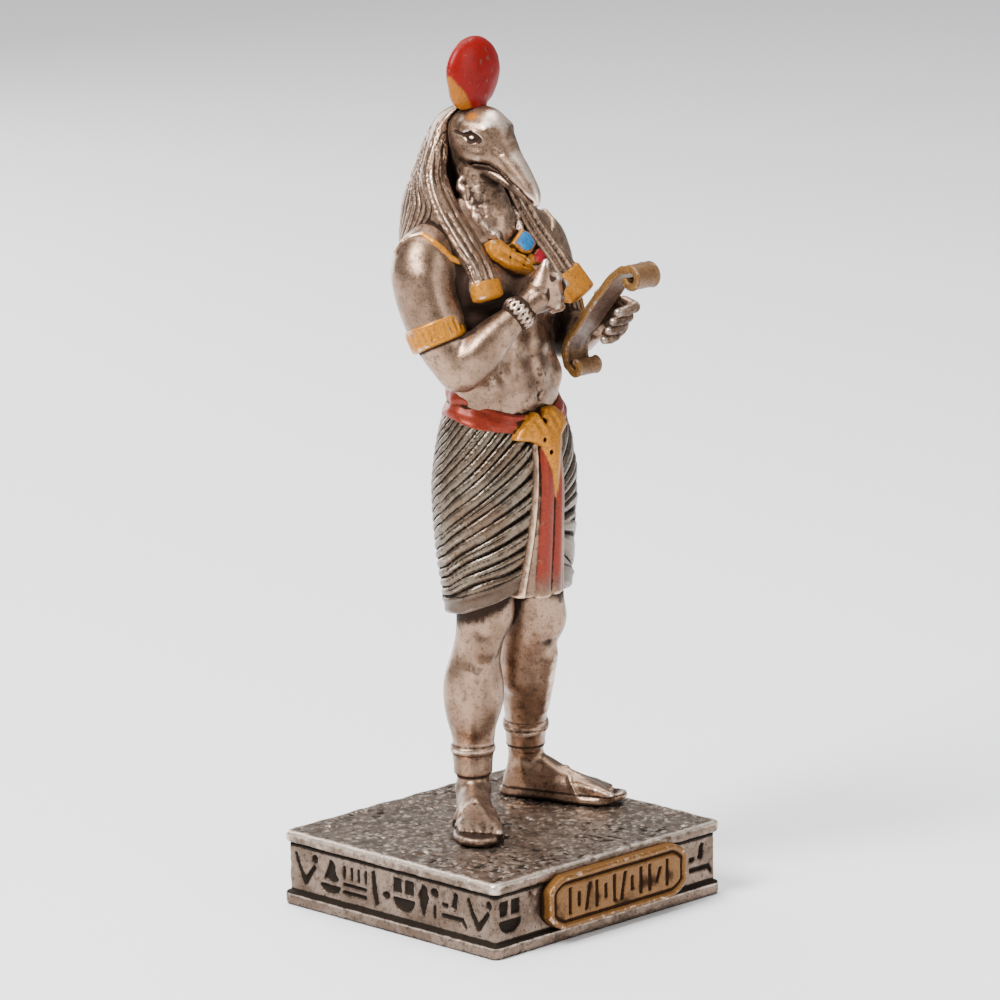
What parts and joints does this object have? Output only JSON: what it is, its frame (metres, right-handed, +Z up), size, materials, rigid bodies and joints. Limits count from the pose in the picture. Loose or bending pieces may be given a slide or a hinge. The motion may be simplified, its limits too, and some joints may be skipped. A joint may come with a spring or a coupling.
{
  "type": "thoth ibis figure",
  "caption": "Small cast ornament of a standing ibis-headed Egyptian deity in a pleated kilt, holding an open scroll, on an inscribed square plinth with a raised name plaque.",
  "frame": {"origin": "centre of the plinth's flat underside, measured without the plaque that stands proud of its front", "axes": "+Z up along the figure's height, -Y towards the front with the name plaque, +X to the figure's left"},
  "size_m": [0.0314, 0.0298, 0.084],
  "materials": {
    "dark_bronze": "cold-cast bronze with dark brown patina in every recess, rubbed bright on its edges",
    "painted_gold": "hand-painted ochre gold, worn at the rim, dark in the engraving",
    "bronze_patina": "cold-cast champagne bronze with dark patina, and hand-painted red, gold and blue details"
  },
  "bodies": {
    "root": {"plinth": "dark_bronze", "name_plaque": "painted_gold", "figure": "bronze_patina"}
  },
  "joints": []
}
